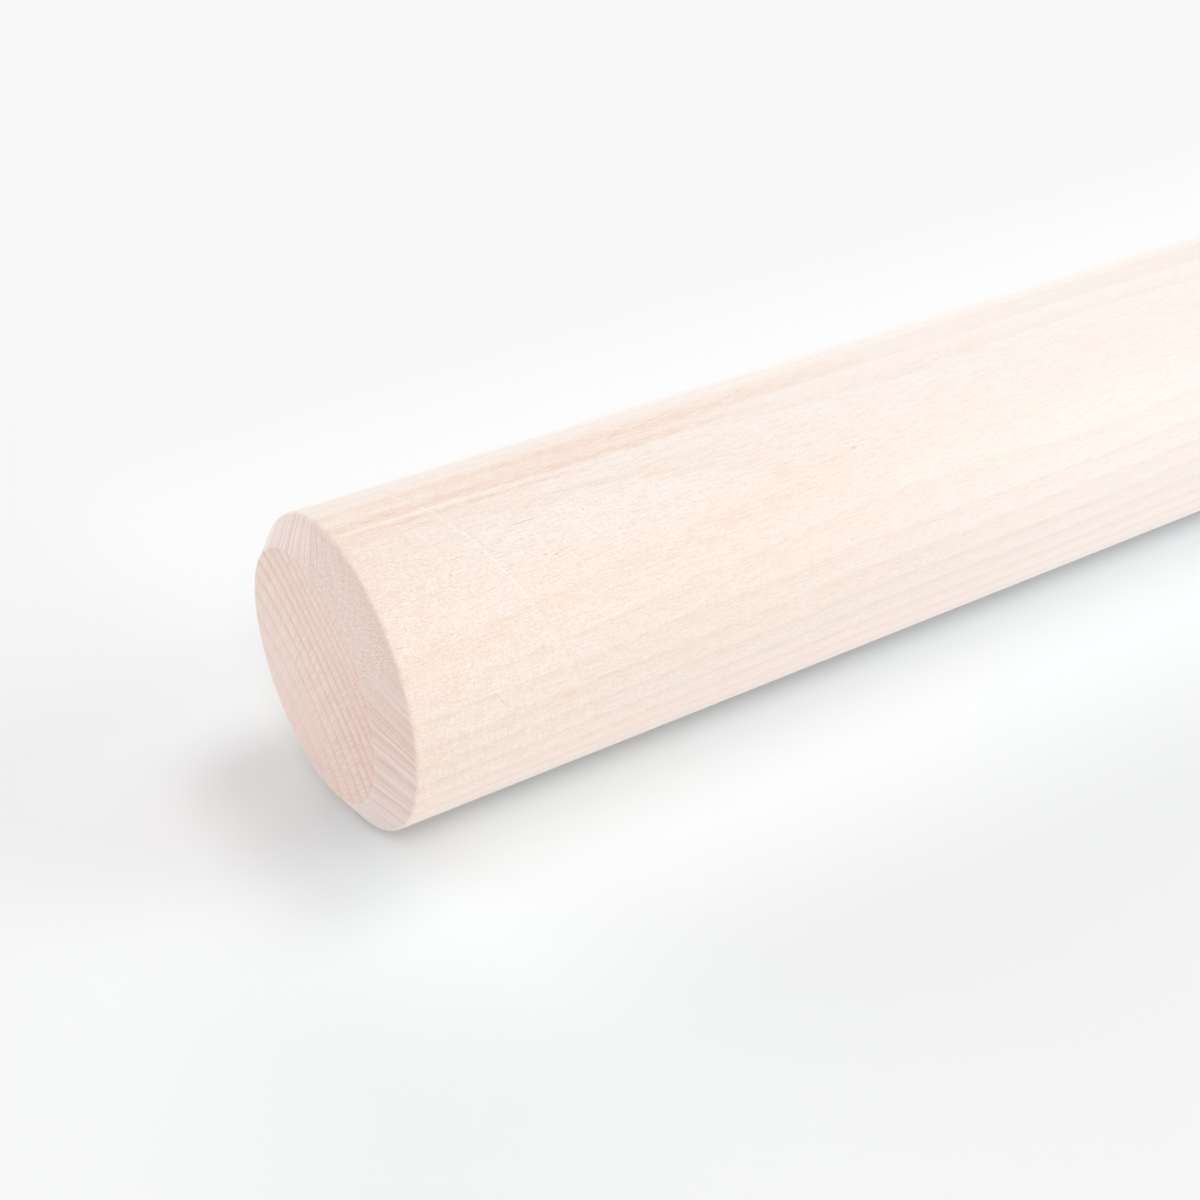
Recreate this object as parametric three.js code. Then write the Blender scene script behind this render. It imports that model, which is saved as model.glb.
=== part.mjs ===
// A straight rolling pin without handles: one stick of pale hardwood, turned round and chamfered at both ends.
// Millimetres, +Z up. The pin lies on a table along X, and the origin is on the table under its middle.
import * as THREE from "three";

// Driving dimensions
const pinLength = 500; // from one flat end to the other
const barrelDiameter = 50;
const chamferInset = 5; // how far the chamfer comes in from the barrel, along the radius
const chamferLength = 4; // how far the chamfer runs along the axis
const barrelEdgeRadius = 0.8; // sanded round, where the chamfer meets the barrel
const faceEdgeRadius = 0.5; // sanded round, where the chamfer meets the flat end

// Fineness of the turned surface
const barrelFlats = 64; // an even number, so that one flat faces straight down
const edgeArcDivisions = 2; // an arc gets two steps for each

const barrelRadius = barrelDiameter / 2;
const faceRadius = barrelRadius - chamferInset;
const halfLength = pinLength / 2;
const shoulder = halfLength - chamferLength; // where the barrel ends and a chamfer starts

const paleWood = new THREE.MeshStandardMaterial({
  name: "pale_wood",
  color: 0xf3dfd0,
  roughness: 0.72,
  metalness: 0,
});

// Runs a path up to a corner and round it to the left, on an arc that touches both sides.
// The arc takes no more than half of the shorter side, so two neighbouring corners never meet.
function roundCorner(path, before, corner, after, radius) {
  const arriving = corner.clone().sub(before).normalize();
  const leaving = after.clone().sub(corner).normalize();
  const turn = Math.acos(arriving.dot(leaving));
  const room = Math.min(before.distanceTo(corner), corner.distanceTo(after)) / 2;
  const setback = Math.min(radius * Math.tan(turn / 2), room);
  const fittedRadius = setback / Math.tan(turn / 2);

  const start = corner.clone().addScaledVector(arriving, -setback);
  const inward = new THREE.Vector2(-arriving.y, arriving.x);
  const centre = start.clone().addScaledVector(inward, fittedRadius);
  const startAngle = Math.atan2(-inward.y, -inward.x);
  path.lineTo(start.x, start.y);
  path.absarc(centre.x, centre.y, fittedRadius, startAngle, startAngle + turn, false);
}

// Half of the pin's lengthwise section, as (radius, place along the axis), from flat end to flat end.
function turnedProfile() {
  const axisStart = new THREE.Vector2(0, -halfLength);
  const corners = [
    { at: new THREE.Vector2(faceRadius, -halfLength), radius: faceEdgeRadius },
    { at: new THREE.Vector2(barrelRadius, -shoulder), radius: barrelEdgeRadius },
    { at: new THREE.Vector2(barrelRadius, shoulder), radius: barrelEdgeRadius },
    { at: new THREE.Vector2(faceRadius, halfLength), radius: faceEdgeRadius },
  ];
  const axisEnd = new THREE.Vector2(0, halfLength);

  const profile = new THREE.Path().moveTo(axisStart.x, axisStart.y);
  corners.forEach(({ at, radius }, i) => {
    const before = i === 0 ? axisStart : corners[i - 1].at;
    const after = i === corners.length - 1 ? axisEnd : corners[i + 1].at;
    roundCorner(profile, before, at, after, radius);
  });
  profile.lineTo(axisEnd.x, axisEnd.y);
  return profile.getPoints(edgeArcDivisions);
}

// The whole pin is this one solid: there is no axle, bush, handle or fastener in it.
function makeRollingPin() {
  const halfFlat = Math.PI / barrelFlats;
  const turned = new THREE.LatheGeometry(turnedProfile(), barrelFlats, halfFlat);
  const pin = new THREE.Mesh(turned, paleWood);
  pin.name = "rolling_pin";
  pin.rotation.z = -Math.PI / 2; // the lathe turns about Y, and the pin lies along X
  pin.position.z = barrelRadius * Math.cos(halfFlat); // its lowest flat lies on the table
  return pin;
}

const part = new THREE.Group();
part.add(makeRollingPin());

export default part;
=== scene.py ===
import math
from types import SimpleNamespace

import bmesh
import bpy
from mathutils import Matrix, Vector


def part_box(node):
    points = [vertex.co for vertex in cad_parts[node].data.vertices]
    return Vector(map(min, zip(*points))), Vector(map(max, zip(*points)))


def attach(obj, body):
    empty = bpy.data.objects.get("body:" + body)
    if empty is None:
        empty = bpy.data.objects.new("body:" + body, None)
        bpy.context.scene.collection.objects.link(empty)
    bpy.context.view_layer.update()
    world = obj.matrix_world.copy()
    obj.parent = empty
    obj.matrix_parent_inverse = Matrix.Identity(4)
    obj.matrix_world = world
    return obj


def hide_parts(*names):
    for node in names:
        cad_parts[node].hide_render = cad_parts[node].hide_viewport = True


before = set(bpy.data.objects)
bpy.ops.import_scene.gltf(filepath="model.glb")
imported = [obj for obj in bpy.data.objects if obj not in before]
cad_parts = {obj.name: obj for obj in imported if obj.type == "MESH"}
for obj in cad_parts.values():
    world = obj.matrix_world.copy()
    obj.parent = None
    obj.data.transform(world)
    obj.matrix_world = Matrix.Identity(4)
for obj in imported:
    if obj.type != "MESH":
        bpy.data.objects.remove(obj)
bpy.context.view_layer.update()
mm = 0.001

# the turned stick's own places, from the frame
pinLow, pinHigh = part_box("rolling_pin")
barrelRadius = (pinHigh.z - pinLow.z) / 2
axisHeight = (pinHigh.z + pinLow.z) / 2
nearEnd, farEnd = pinLow.x, pinHigh.x
print("frame: pin", round((farEnd - nearEnd) / mm), "mm long, radius", round(barrelRadius / mm, 2), "mm")


# shader maths

class Wire:  # one output socket, so that shader maths reads as Python
    def __init__(self, tree, socket=None):
        self.tree = tree
        self.socket = socket

    def make(self, kind, settings, sockets, output=0):  # any node: settings first, then values or links
        node = self.tree.nodes.new("ShaderNode" + kind)
        for name, value in settings.items():
            setattr(node, name, value)
        for name, value in sockets.items():
            if isinstance(value, Wire):
                self.tree.links.new(value.socket, node.inputs[name])
            else:
                node.inputs[name].default_value = value
        return Wire(self.tree, node.outputs[output])

    def math(self, operation, *values):
        return self.make("Math", {"operation": operation}, dict(enumerate(values)))

    def __add__(self, other):
        return self.math("ADD", self, other)

    def __sub__(self, other):
        return self.math("SUBTRACT", self, other)

    def __rsub__(self, other):
        return self.math("SUBTRACT", other, self)

    def __mul__(self, other):
        return self.math("MULTIPLY", self, other)

    def __truediv__(self, other):
        return self.math("DIVIDE", self, other)

    def __pow__(self, other):
        return self.math("POWER", self, other)

    def __abs__(self):
        return self.math("ABSOLUTE", self)

    __radd__ = __add__
    __rmul__ = __mul__

    def least(self, other):
        return self.math("MINIMUM", self, other)

    def most(self, other):
        return self.math("MAXIMUM", self, other)

    def rise(self, start, end):  # 0 before start, 1 after end, smooth between; start may be the larger
        settings = {"interpolation_type": "SMOOTHSTEP"}
        return self.make("MapRange", settings, {"Value": self, "From Min": start, "From Max": end})

    def split(self):  # the three numbers of a vector
        first = self.make("SeparateXYZ", {}, {"Vector": self})
        return [Wire(self.tree, socket) for socket in first.socket.node.outputs]

    def between(self, first, second):  # from one colour to another
        return self.make("Mix", {"data_type": "RGBA"}, {0: self, 6: first, 7: second}, 2)

    def tint(self, colour, factor):  # a colour, taken towards another
        return factor.between(self, colour)

    def times(self, colour, factor):  # a colour, multiplied by another
        sockets = {0: factor, 6: self, 7: colour}
        return self.make("Mix", {"data_type": "RGBA", "blend_type": "MULTIPLY"}, sockets, 2)


def strongest(wires):
    best = wires[0]
    for wire in wires[1:]:
        best = best.most(wire)
    return best


def noise(size, x, y, z, detail=2.0, roughness=0.5):
    vector = x.make("CombineXYZ", {}, {"X": x / size[0], "Y": y / size[1], "Z": z / size[2]})
    sockets = {"Vector": vector, "Scale": 1.0, "Detail": detail, "Roughness": roughness}
    return x.make("TexNoise", {"noise_dimensions": "3D"}, sockets, "Fac")


# pin

pin = {
    "chamferInset": 5.0 * mm,
    "chamferLength": 4.0 * mm,
    "barrelEdge": 0.8 * mm,  # sanded rounds
    "faceEdge": 0.4 * mm,
    "steps": 224,
    "edgeSegments": 4,
    "support": 0.6 * mm,  # loops beside the rounds, so that smooth shading stays flat
    "barrelCuts": 60,
    "longEdge": 100 * mm,  # only the barrel has edges as long as this
    "sameRing": 0.01 * mm,
    "samePlace": 0.001 * mm,
    # the photographed end was chamfered a little off centre and out of square
    "askew": (0.06 * mm, 0.89 * mm),
    "lean": (0.007, -0.016),  # along the pin, for each unit across and up
}
feedMark = {  # a shallow groove that climbs round the barrel
    "x": 20.2 * mm,  # past the near shoulder, at the turn below
    "turn": 128.0,  # degrees from +Y, up and over
    "climb": 0.157 * mm,  # along the pin, for each degree
    "reach": 78.0,  # degrees to either end
    "turnBack": 80.0,  # degrees to either side, where its loops start back to close behind the pin
    "loops": (-1.2, -0.3, -0.13, 0.0, 0.13, 0.3, 1.2),  # mm from its middle
    "room": (19 * mm, 60 * mm),  # before and after it, where the other loops straighten out
    "halfWidth": 0.3 * mm,
    "depth": 0.05 * mm,
}
chamferSlope = math.atan2(pin["chamferInset"], pin["chamferLength"])
nearShoulder = nearEnd + pin["chamferLength"]
farShoulder = farEnd - pin["chamferLength"]
faceRadius = barrelRadius - pin["chamferInset"]


def ringEdges(bm, x, radius):
    def onRing(vert):
        reach = math.hypot(vert.co.y, vert.co.z - axisHeight)
        return abs(vert.co.x - x) < pin["sameRing"] and abs(reach - radius) < pin["sameRing"]
    return [edge for edge in bm.edges if all(onRing(vert) for vert in edge.verts)]


def roundRing(bm, x, radius, edgeRadius, turn):
    setback = edgeRadius * math.tan(turn / 2)
    bmesh.ops.bevel(bm, geom=ringEdges(bm, x, radius), offset=setback, offset_type="OFFSET",
                    segments=pin["edgeSegments"], profile=0.5, affect="EDGES", material=-1)


def cutAcross(bm, x):
    geom = bm.verts[:] + bm.edges[:] + bm.faces[:]
    bmesh.ops.bisect_plane(bm, geom=geom, plane_co=(x, 0, 0), plane_no=(1, 0, 0))


def pressFeedMark(bm):
    middle = nearShoulder + feedMark["x"]
    for offset in feedMark["loops"]:
        cutAcross(bm, middle + offset * mm)
    roomBefore, roomAfter = feedMark["room"]
    turnBack = feedMark["turnBack"]
    for vert in bm.verts:
        past = vert.co.x - middle
        room = roomBefore if past < 0 else roomAfter
        if abs(past) > room:
            continue
        turn = math.degrees(math.atan2(vert.co.z - axisHeight, vert.co.y)) - feedMark["turn"]
        turn = (turn + 180) % 360 - 180
        lie = turn
        if abs(turn) > turnBack:
            lie = math.copysign(180 - abs(turn), turn) * turnBack / (180 - turnBack)
        vert.co.x += lie * feedMark["climb"] * (1 - abs(past) / room)  # the loops lean to lie along the mark
        across = max(0, 1 - (past / feedMark["halfWidth"]) ** 2)
        fade = max(0, 1 - (turn / feedMark["reach"]) ** 2)
        inward = 1 - across * fade * feedMark["depth"] / barrelRadius
        vert.co.y *= inward
        vert.co.z = axisHeight + (vert.co.z - axisHeight) * inward


def leanNearEnd(bm):
    for vert in bm.verts:
        share = min(1, (nearShoulder - vert.co.x) / pin["chamferLength"])
        if share > 0:
            y, z = vert.co.y, vert.co.z - axisHeight
            vert.co.x += share * (y * pin["lean"][0] + z * pin["lean"][1])
            vert.co.y += share * pin["askew"][0]
            vert.co.z += share * pin["askew"][1]


def turnPin():
    bm = bmesh.new()
    outline = [(nearEnd, 0), (nearEnd, faceRadius), (nearShoulder, barrelRadius),
               (farShoulder, barrelRadius), (farEnd, faceRadius), (farEnd, 0)]
    verts = [bm.verts.new((x, 0, axisHeight - radius)) for x, radius in outline]
    edges = [bm.edges.new(pair) for pair in zip(verts, verts[1:])]
    bmesh.ops.spin(bm, geom=verts + edges, cent=(0, 0, axisHeight), axis=(1, 0, 0),
                   angle=math.tau, steps=pin["steps"], use_merge=True)
    bmesh.ops.remove_doubles(bm, verts=bm.verts, dist=pin["samePlace"])
    bmesh.ops.recalc_face_normals(bm, faces=bm.faces)
    for shoulder, end in ((nearShoulder, nearEnd), (farShoulder, farEnd)):
        roundRing(bm, shoulder, barrelRadius, pin["barrelEdge"], chamferSlope)
        roundRing(bm, end, faceRadius, pin["faceEdge"], math.pi / 2 - chamferSlope)
        inward = math.copysign(pin["support"], -shoulder)
        for x in (end + inward, shoulder - inward, shoulder + inward):
            cutAcross(bm, x)
        cap = [face for face in bm.faces
               if all(abs(vert.co.x - end) < pin["samePlace"] for vert in face.verts)]
        bmesh.ops.inset_region(bm, faces=cap, thickness=pin["support"], use_even_offset=True)
    long = [edge for edge in bm.edges if edge.calc_length() > pin["longEdge"]]
    bmesh.ops.subdivide_edges(bm, edges=long, cuts=pin["barrelCuts"], use_grid_fill=True)
    pressFeedMark(bm)
    past = bm.verts.layers.float.new("pastShoulder")  # 0 at a shoulder and 1 at a flat end, for the wood
    for vert in bm.verts:
        vert[past] = max(nearShoulder - vert.co.x, vert.co.x - farShoulder) / pin["chamferLength"]
    leanNearEnd(bm)
    for face in bm.faces:
        face.smooth = True
    mesh = bpy.data.meshes.new("turned_pin")
    bm.to_mesh(mesh)
    bm.free()
    piece = bpy.data.objects.new("turned_pin", mesh)
    bpy.context.scene.collection.objects.link(piece)
    print("pin:", len(mesh.polygons), "faces")
    return piece


# wood: one solid texture, so grain, rings and rays run on from the barrel over the chamfers

wood = {
    "pithReach": 75.0,  # mm from the pin's axis to the middle of the tree
    "pithTurn": 126.0,  # degrees from +Y up and over, to the side that faces away from the pith
    "years": 14,
    "firstYear": -18.8,  # mm out from the axis to where the innermost one ends
    "yearWidth": 5.4,  # mm, the next one's
    "thinning": 0.91,  # each year's width, against the year before
    "darkYear": 6,  # counted from the innermost, which is 0
    "darkness": 0.95,  # its own
    "paling": 0.05,  # less, for each year to either side
    "lateWood": 2.4,  # mm over which a year darkens
    "ringEdge": 0.3,  # mm
    "drift": 1.6,  # mm that the rings move out along the near end's first 95 mm
    "wander": 2.4,  # mm, slowly along the pin
    "waver": 0.7,  # mm, from place to place
    "sapwood": (0.88, 0.755, 0.685, 1),
    "warmSapwood": (0.885, 0.735, 0.64, 1),
    # the sapwood in painted light, for the far end and the top of the barrel
    "litSapwood": (0.975, 0.902, 0.864, 1),
    "redwood": (0.79, 0.52, 0.39, 1),
    "lateColour": (0.70, 0.445, 0.36, 1),
    "grainColour": (0.82, 0.60, 0.42, 1),
    "poreColour": (0.69, 0.48, 0.33, 1),
    "fuzzColour": (1.0, 0.94, 0.89, 1),
    "faceTint": (1.03, 0.905, 0.865, 1),
    "chamferTint": (0.96, 0.915, 0.915, 1),
    # painted light: paler on the chamfers' upper side, where more light falls
    "chamferTopLight": (1.10, 1.11, 1.15, 1),
    # painted light: warmer and brighter on the barrel's underside, for light thrown up from the floor
    "undersideBounce": (1.05, 0.985, 0.97, 1),
    # on the skin: mm from the near shoulder, degrees from +Y, half length, half width, degrees of slant
    "scrape": (19.8, 125.0, 18.0, 0.25, 70.2),  # pale, along the feed mark
    "streaks": ((8, 92.6, 48, 1.4, 0.4), (42, 95.0, 36, 1.2, 0.8), (16, 98.6, 34, 0.6, 1.2),
                (44, 84, 60, 2.0, 0), (58, 87, 46, 2.8, 0)),
    "warmStrip": (160, 82, 120, 6.0, 0),
    # painted light: paler strips along the top of the barrel, where light from above falls
    "topLightStrips": ((105, 114, 150, 9.0, 0), (66, 104, 90, 7.0, 0)),
    "paleLines": ((17, 96.0, 24, 0.4, 1.0), (2.0, 142.8, 1.2, 0.2, 80)),
    "specks": ((12.5, 124.2, 0.3, 0.25, 0), (36.4, 116.6, 0.3, 0.2, 0), (84.4, 127, 0.4, 0.25, 0),
               (29.0, 128.9, 0.6, 0.16, 0), (27.4, 128, 0.5, 0.14, 0), (14.3, 170, 0.7, 0.14, 60),
               (27, 114, 3.2, 0.1, 0), (1.0, 141.4, 1.4, 0.1, 0)),
    "roughness": 0.62,
    "fibreRoughness": 0.2,  # more or less, with the fibres
    "endRoughness": 0.14,  # more, on the end grain
    "sheen": 0.6,  # loose fibres
    "sheenRoughness": 0.5,
    "bump": 0.35,
    "bumpHeight": 0.06 * mm,
}
grainSize = {  # mm, along the pin and two ways across it
    "wander": (90, 40, 40),
    "waver": (30, 5, 5),
    "ringGaps": (40, 2.5, 3.0),
    "layers": (160, 40, 0.17),
    "grain": (4.0, 0.19, 0.19),
    "fibres": (2.5, 0.15, 0.25),
    "rays": (0.35, 0.19, 4.0),
    "hatch": (0.45, 0.15, 50),
    "fuzz": (0.5, 0.1, 0.1),
    "sanding": (0.17, 3.0, 9.0),
    "patches": (45, 7, 7),
    "streaks": (3.5, 0.22, 20),
}
shows = {  # how far each colour goes in, from 0 to 1
    "farLight": 0.95,  # painted light: paler towards the far end, as if more strongly lit there
    "topLightStrips": 0.5,
    "warmStrip": 0.4,
    "warmRim": 0.5,
    "warmEnd": 0.6,
    "pores": 0.3,
    "fuzz": 0.5,
    "hollows": 0.24,  # between the fuzz
    "paleRays": 0.34,
    "darkRays": 0.36,
    "paleHatch": 0.38,
    "darkHatch": 0.4,
    "sanding": 0.32,
    "layers": 0.12,
    "faceLayers": 0.26,  # more, on the flat ends
    "chamferLayers": 0.5,  # more, on the chamfers
    "grain": 0.3,
    "ageing": 0.1,
    "oldSide": 0.28,  # darker to one side of the flat ends
    "rings": 0.64,
    "streaks": 0.9,
    "scrape": 0.6,
    "paleLines": 0.5,
    "specks": 0.7,
    "burnish": 0.16,
    "wornEdge": 0.12,
    "middleFade": 0.72,  # how much smoother the barrel is along its middle
}


def skinMark(at, place):  # an oval on the unrolled skin, 1 in its middle and 0 at its rim
    x, turn, halfLength, halfWidth, slant = place
    around = math.radians(turn - wood["pithTurn"]) * barrelRadius / mm
    oval = at.skin.make("Mapping", {"vector_type": "TEXTURE"}, {
        "Vector": at.skin,
        "Location": (x, around, 0),
        "Rotation": (0, 0, math.radians(slant)),
        "Scale": (halfLength, halfWidth, 1),
    })
    return oval.make("TexGradient", {"gradient_type": "SPHERICAL"}, {"Vector": oval}, "Fac")


def skinMarks(at, places):
    return strongest([skinMark(at, place) for place in places])


def placesOnPin(tree):
    at = SimpleNamespace()
    here = Wire(tree).make("TexCoord", {}, {}, "Object")
    # millimetres from the near shoulder, with the second axis pointing away from the pith
    turned = here.make("Mapping", {"vector_type": "TEXTURE"}, {
        "Vector": here,
        "Location": (nearShoulder, 0, axisHeight),
        "Rotation": (math.radians(wood["pithTurn"]), 0, 0),
        "Scale": (mm, mm, mm),
    })
    at.along, at.outward, at.aside = turned.split()
    at.arc = at.aside.math("ARCTAN2", at.aside, at.outward) * (barrelRadius / mm)
    at.skin = at.arc.make("CombineXYZ", {}, {"X": at.along, "Y": at.arc})
    # 0 on the barrel, rising over the chamfer to 1 on a flat end
    at.past = here.make("Attribute", {"attribute_name": "pastShoulder"}, {}, "Fac")
    at.onEnd = at.past.rise(-0.06, 0.08)
    at.onFace = at.past.rise(0.975, 0.998)
    at.onChamfer = at.onEnd * (1 - at.onFace)
    at.onBarrel = 1 - at.onEnd
    at.textured = at.onBarrel * (1 - shows["middleFade"] * at.along.rise(20, 150) * at.along.rise(480, 350))
    return at


def countYears(at):  # out from the pith, drifting along the pin
    wander = (noise(grainSize["wander"], at.along, at.outward, at.aside) - 0.5) * wood["wander"]
    waver = (noise(grainSize["waver"], at.along, at.outward, at.aside) - 0.5) * wood["waver"]
    drift = at.along.rise(-5, 90) * wood["drift"] + wander
    fromPith = at.outward + wood["pithReach"]
    away = (fromPith ** 2 + at.aside ** 2) ** 0.5 - wood["pithReach"]
    at.year = away - drift + waver
    at.ringArc = at.aside.math("ARCTAN2", at.aside, fromPith) * wood["pithReach"]
    rings = []
    edge, width = wood["firstYear"], wood["yearWidth"]
    for number in range(wood["years"]):
        darkness = wood["darkness"] - wood["paling"] * abs(number - wood["darkYear"])
        left = edge - at.year  # millimetres to the end of that year
        rings.append((1 - left / wood["lateWood"]).least(1 + left / wood["ringEdge"]).most(0) * darkness)
        edge += width
        width *= wood["thinning"]
    at.ageing = strongest(rings)  # pale to pink over a year, and a line at its end
    at.clear = 0.4 + 0.6 * at.year.rise(-18, 2) + 0.35 * at.aside.rise(0, 14)  # rings clearer to one side


def fineTexture(at):
    fine = SimpleNamespace()
    fine.layers = noise(grainSize["layers"], at.along, at.ringArc, at.year, 2.0, 0.6)
    fine.grain = noise(grainSize["grain"], at.along, at.outward, at.aside, 2.0, 0.6)
    fine.fibres = noise(grainSize["fibres"], at.along, at.ringArc, at.year, 2.0, 0.6)
    fine.rays = noise(grainSize["rays"], at.along, at.ringArc, at.year, 1.0, 0.6)
    fine.hatch = noise(grainSize["hatch"], at.along, at.arc, at.along, 1.0, 0.6)
    fine.fuzz = noise(grainSize["fuzz"], at.along, at.outward, at.aside, 1.0, 0.6)
    fine.sanding = noise(grainSize["sanding"], at.along, at.arc, at.outward, 1.0, 0.5)
    return fine


def sapwoodColour(at):
    patches = noise(grainSize["patches"], at.along, at.outward, at.aside, 3.0, 0.5)
    colour = (patches.rise(0.4, 0.65) * at.onBarrel).between(wood["sapwood"], wood["warmSapwood"])
    # painted light: paler towards the far end, less so underneath, standing in for brighter light there
    farLight = at.along.rise(-30, 170) * (shows["farLight"] - 0.25 * at.arc.rise(14, 28))
    colour = colour.tint(wood["litSapwood"], farLight)
    # painted light: paler strips along the top, where light from above falls
    topLightStrips = skinMarks(at, wood["topLightStrips"]).rise(0, 0.8)
    colour = colour.tint(wood["litSapwood"], topLightStrips * at.onBarrel * shows["topLightStrips"])
    warmStrip = skinMark(at, wood["warmStrip"]).rise(0, 0.8)
    colour = colour.tint(wood["warmSapwood"], warmStrip * at.onBarrel * shows["warmStrip"])
    warmRim = at.along.rise(1.6, 0.2) * shows["warmRim"]
    warmEnd = at.along.rise(16, 1) * at.arc.rise(-14, -4) * shows["warmEnd"]
    return colour.tint(wood["warmSapwood"], (warmRim + warmEnd) * at.onBarrel)


def textureColour(colour, at, fine):  # pores, raised fibres, rays on the flat ends, scratches on the chamfers
    pale, dark = wood["fuzzColour"], wood["poreColour"]
    colour = colour.tint(dark, fine.fibres.rise(0.52, 0.7) * (0.06 + shows["pores"] * at.textured))
    everywhere = 0.08 + 0.06 * at.onFace
    colour = colour.tint(pale, fine.fuzz.rise(0.5, 0.66) * (everywhere + shows["fuzz"] * at.textured))
    colour = colour.tint(dark, fine.fuzz.rise(0.48, 0.32) * (everywhere + shows["hollows"] * at.textured))
    clearFace = at.onFace * at.clear
    colour = colour.tint(pale, fine.rays.rise(0.49, 0.6) * (0.06 + shows["paleRays"] * clearFace))
    colour = colour.tint(dark, fine.rays.rise(0.5, 0.39) * shows["darkRays"] * clearFace)
    scratched = at.onChamfer * at.arc.rise(-26, -16) * (1 - 0.6 * at.arc.rise(6, 16))
    colour = colour.tint(pale, fine.hatch.rise(0.49, 0.62) * shows["paleHatch"] * scratched)
    colour = colour.tint(dark, fine.hatch.rise(0.5, 0.38) * shows["darkHatch"] * scratched)
    sanded = at.onBarrel * at.along.rise(60, 5) * at.arc.rise(2, 14)
    return colour.tint(pale, fine.sanding.rise(0.5, 0.64) * sanded * shows["sanding"])


def yearsColour(colour, at, fine):
    late, grain = wood["lateColour"], wood["grainColour"]
    ringsShow = at.onEnd * (1 - at.onChamfer * abs(at.arc).rise(20, 4))  # less where a chamfer follows them
    onFlat = shows["faceLayers"] * at.year.rise(-4, 12) * at.onFace
    layers = shows["layers"] + onFlat + shows["chamferLayers"] * at.onChamfer
    colour = colour.tint(late, fine.layers.rise(0.45, 0.63) * layers * ringsShow)
    colour = colour.tint(grain, fine.grain.rise(0.48, 0.68) * shows["grain"] * at.textured)
    colour = colour.tint(late, at.ageing * shows["ageing"] * at.onFace)
    grained = fine.grain.rise(0.3, 0.6) * (0.25 * at.onBarrel + 0.15 * at.textured)
    colour = colour.tint(grain, at.ageing * grained)
    colour = colour.tint(late, at.aside.rise(-8, 16) * shows["oldSide"] * at.onFace)
    gaps = noise(grainSize["ringGaps"], at.along, at.ringArc, at.year).rise(0.3, 0.6)
    lines = at.ageing.rise(0.35, 0.95) * (0.5 + 0.5 * gaps)
    broken = (0.6 + fine.rays * 0.75 * at.onFace + 0.3 * at.onChamfer) * at.clear
    onEnds = (shows["rings"] - 0.3 * at.onChamfer) * ringsShow * broken
    return colour.tint(late, lines * (0.1 + onEnds))


def markedColour(colour, at, fine):  # streaks, lines and specks on the barrel's skin
    streakGrain = noise(grainSize["streaks"], at.along, at.arc, at.outward, 3.0, 0.65).rise(0.41, 0.6)
    streaks = skinMarks(at, wood["streaks"]) ** 0.7 * streakGrain
    colour = colour.tint(wood["redwood"], streaks * at.onBarrel * shows["streaks"])
    scrape = skinMark(at, wood["scrape"]).rise(0, 0.6) * fine.fuzz.rise(0.3, 0.56) * shows["scrape"]
    paleLines = skinMarks(at, wood["paleLines"]) * shows["paleLines"]
    colour = colour.tint(wood["fuzzColour"], scrape.most(paleLines) * at.onBarrel)
    specks = skinMarks(at, wood["specks"]).rise(0, 0.6)
    return colour.tint(wood["poreColour"], specks * at.onBarrel * shows["specks"])


def sidesColour(colour, at):  # the barrel's underside with painted floor bounce, the chamfers with painted light on their upper side, and the flat ends
    burnished = at.past.rise(0.55, 0.0) * at.onChamfer * at.arc.rise(18, 6)
    colour = colour.tint(wood["lateColour"], burnished * shows["burnish"])
    # painted floor bounce on the barrel's underside
    colour = colour.times(wood["undersideBounce"], at.arc.rise(26, 36) * at.onBarrel)
    colour = colour.times(wood["chamferTint"], at.onChamfer)
    # painted light on the chamfers, mostly on their upper side
    aroundTop = at.aside.rise(-6, -17) + at.aside.rise(6, 17) * 0.4
    colour = colour.times(wood["chamferTopLight"], aroundTop * at.onChamfer)
    colour = colour.times(wood["faceTint"], at.onFace)
    wornEdge = at.past.rise(0.93, 0.965) * at.past.rise(1.0, 0.985) * at.arc.rise(-30, -15)
    return colour.tint(wood["fuzzColour"], wornEdge * shows["wornEdge"])


def paleWood():
    material = bpy.data.materials.new("pale_wood")
    material.use_nodes = True
    tree = material.node_tree
    shader = tree.nodes["Principled BSDF"]
    at = placesOnPin(tree)
    countYears(at)
    fine = fineTexture(at)
    colour = sapwoodColour(at)
    colour = textureColour(colour, at, fine)
    colour = yearsColour(colour, at, fine)
    colour = markedColour(colour, at, fine)
    colour = sidesColour(colour, at)
    tree.links.new(colour.socket, shader.inputs["Base Color"])
    rough = wood["roughness"] + wood["endRoughness"] * at.onEnd + (fine.fibres - 0.5) * wood["fibreRoughness"]
    tree.links.new(rough.socket, shader.inputs["Roughness"])
    shader.inputs["Sheen Weight"].default_value = wood["sheen"]
    shader.inputs["Sheen Roughness"].default_value = wood["sheenRoughness"]
    shader.inputs["Sheen Tint"].default_value = (1, 1, 1, 1)
    height = fine.fibres * 0.4 + fine.fuzz * 0.4 + fine.rays * 0.3 * at.onEnd
    sockets = {"Strength": wood["bump"], "Distance": wood["bumpHeight"], "Height": height}
    bump = height.make("Bump", {}, sockets, "Normal")
    tree.links.new(bump.socket, shader.inputs["Normal"])
    print("wood:", len(tree.nodes), "nodes")
    return material


piece = turnPin()
piece.data.materials.append(paleWood())
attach(piece, "root")
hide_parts("rolling_pin")


# stage

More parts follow.
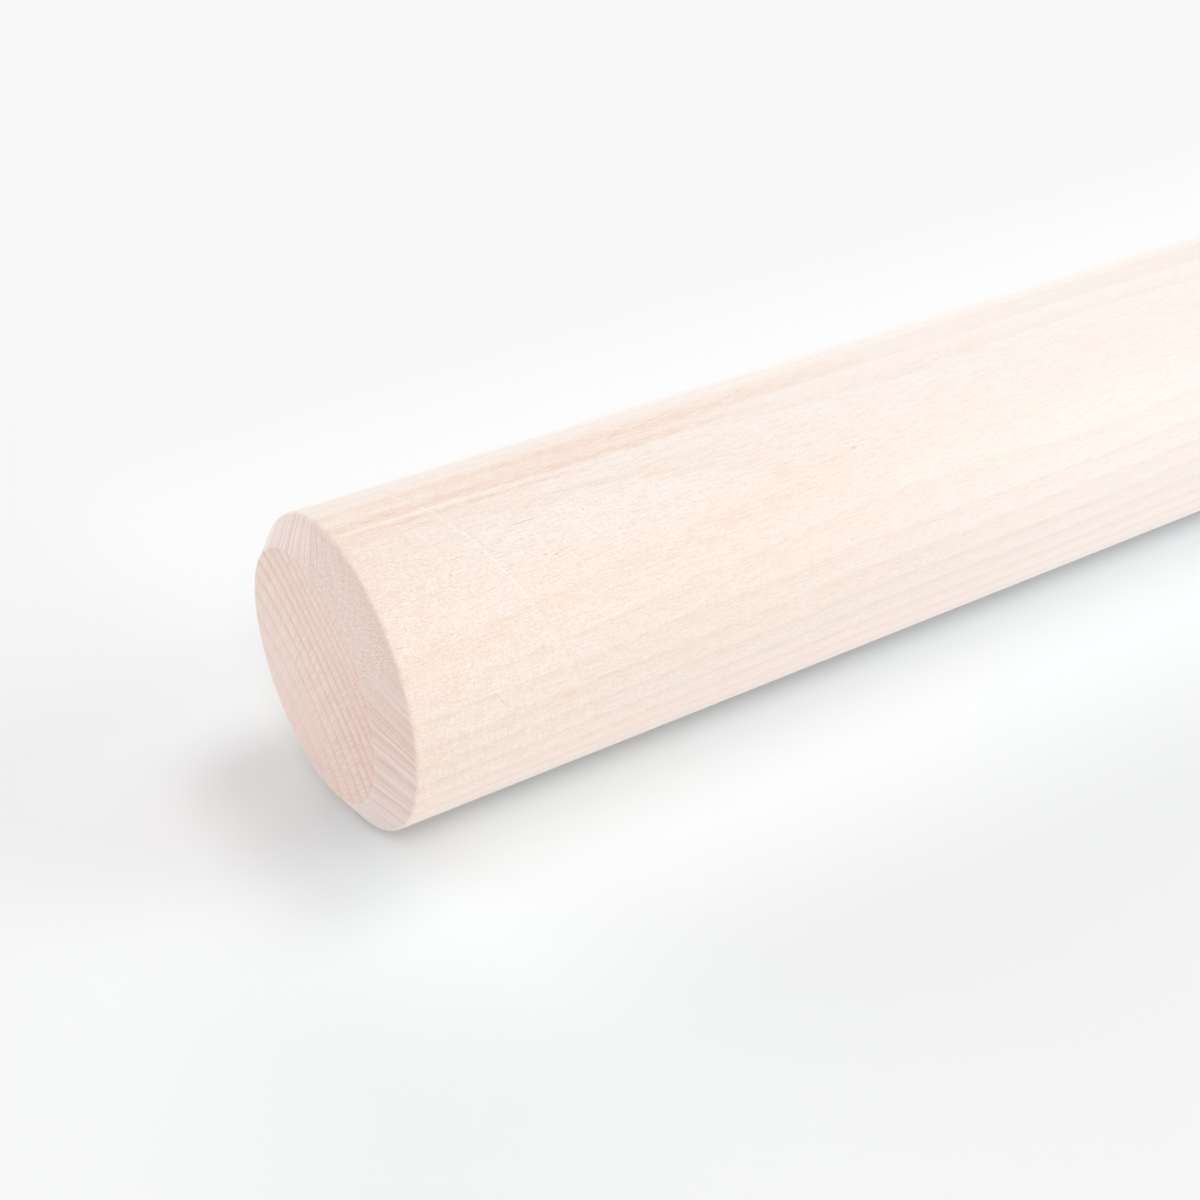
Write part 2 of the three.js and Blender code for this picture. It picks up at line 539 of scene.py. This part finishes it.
studio = {
    "floorHalf": 4.0,
    "floorRoughness": 0.9,
    "floorColour": (0.895, 0.895, 0.895, 1),
    "litFloor": (0.985, 0.985, 0.985, 1),  # a painted pool of light round the pin
    "coolFloor": (0.85, 0.95, 1.0, 1),  # beside it, against the warm light that the wood throws
    "shadedFloor": (0.84, 0.84, 0.84, 1),  # under the ends
    # barrel radii from the pin's middle line on the floor: none at the first, full at the second
    "lightPool": (2.8, 1.0),
    "halo": (5.6, 3.4),
    "haloBehind": (1.0, 2.6),
    "haloPastEnd": (1.8, 0.4),
    "haloStrength": 0.5,
    "coolReach": 1.2,  # radii to half its strength
    "coolLostBehind": 0.6,
    "worldStrength": 0.5,
    "panelWidth": 32.0,  # degrees
    "panels": {  # azimuth from +X, elevation, strength
        "key": (240, 45, 0.85),
        "fill": (330, 20, 0.80),
        "rightRim": (60, 20, 0.50),
        "leftRim": (120, 20, 0.45),
        "farTop": (0, 60, 0.40),
        "frontTop": (300, 60, 0.20),
    },
}


def floorColour(tree):  # in barrel radii
    places = Wire(tree).make("TexCoord", {}, {}, "Object").split()
    x, y = [place / barrelRadius for place in places[:2]]
    pastEnd = abs(x) - farEnd / barrelRadius
    beyond = (pastEnd + 1).most(0)
    distance = (beyond ** 2 + y ** 2) ** 0.5
    # painted light: a pool of light on the floor round the pin, reaching further behind it and fading past
    # the ends
    haloPlace = y.rise(*studio["haloBehind"]) * beyond.rise(*studio["haloPastEnd"])
    halo = distance.rise(*studio["halo"]) * haloPlace
    lightPool = distance.rise(*studio["lightPool"]).most(halo * studio["haloStrength"])
    colour = lightPool.between(studio["floorColour"], studio["litFloor"])
    behind = y.rise(-0.5, 0.5)
    cool = ((distance / studio["coolReach"]) ** 2 + 1) ** -1 * (1 - studio["coolLostBehind"] * behind)
    colour = colour.tint(studio["coolFloor"], cool)
    underEnd = pastEnd.rise(-0.8, 0.0) * pastEnd.rise(0.9, 0.2) * abs(y).rise(1.3, 0.5)
    return colour.times(studio["shadedFloor"], underEnd * (0.5 + 0.5 * behind))


def paleFloor():
    bm = bmesh.new()
    bmesh.ops.create_grid(bm, x_segments=1, y_segments=1, size=studio["floorHalf"])
    mesh = bpy.data.meshes.new("floor")
    bm.to_mesh(mesh)
    bm.free()
    floor = bpy.data.objects.new("floor", mesh)
    bpy.context.scene.collection.objects.link(floor)
    material = bpy.data.materials.new("pale_floor")
    material.use_nodes = True
    tree = material.node_tree
    shader = tree.nodes["Principled BSDF"]
    tree.links.new(floorColour(tree).socket, shader.inputs["Base Color"])
    shader.inputs["Roughness"].default_value = studio["floorRoughness"]
    shader.inputs["Specular IOR Level"].default_value = 0.0
    mesh.materials.append(material)


def softLight():
    world = bpy.data.worlds.new("studio")
    bpy.context.scene.world = world
    world.use_nodes = True
    world.node_tree.nodes["Background"].inputs["Color"].default_value = (1, 1, 1, 1)
    world.node_tree.nodes["Background"].inputs["Strength"].default_value = studio["worldStrength"]
    for name, (azimuth, elevation, strength) in studio["panels"].items():
        lamp = bpy.data.lights.new(name, "SUN")
        lamp.angle = math.radians(studio["panelWidth"])
        lamp.energy = strength
        panel = bpy.data.objects.new(name, lamp)
        a, e = math.radians(azimuth), math.radians(elevation)
        towards = Vector((math.cos(a) * math.cos(e), math.sin(a) * math.cos(e), math.sin(e)))
        panel.rotation_euler = towards.to_track_quat("Z", "Y").to_euler()
        bpy.context.scene.collection.objects.link(panel)


paleFloor()
softLight()
print("stage: floor and soft light")


# camera

view = {
    "azimuth": -32.83,  # degrees from straight in front, towards +X
    "elevation": 33.54,
    "lens": 57.58,  # mm
    "eye": (-3.721, -8.656, 6.684),  # barrel radii from the middle of the near shoulder
    "clipStart": 10 * mm,
}


def photoCamera():
    azimuth, elevation = math.radians(view["azimuth"]), math.radians(view["elevation"])
    back = Vector((math.sin(azimuth) * math.cos(elevation),
                   -math.cos(azimuth) * math.cos(elevation), math.sin(elevation)))
    lens = bpy.data.cameras.new("camera")
    lens.lens = view["lens"]
    lens.clip_start = view["clipStart"]
    camera = bpy.data.objects.new("camera", lens)
    camera.location = Vector((nearShoulder, 0, axisHeight)) + Vector(view["eye"]) * barrelRadius
    camera.rotation_euler = (-back).to_track_quat("-Z", "Y").to_euler()
    bpy.context.scene.collection.objects.link(camera)
    bpy.context.scene.camera = camera


photoCamera()
bpy.context.scene.view_settings.view_transform = "Standard"  # the studio's plain whites
print("camera: at the photo's angle")
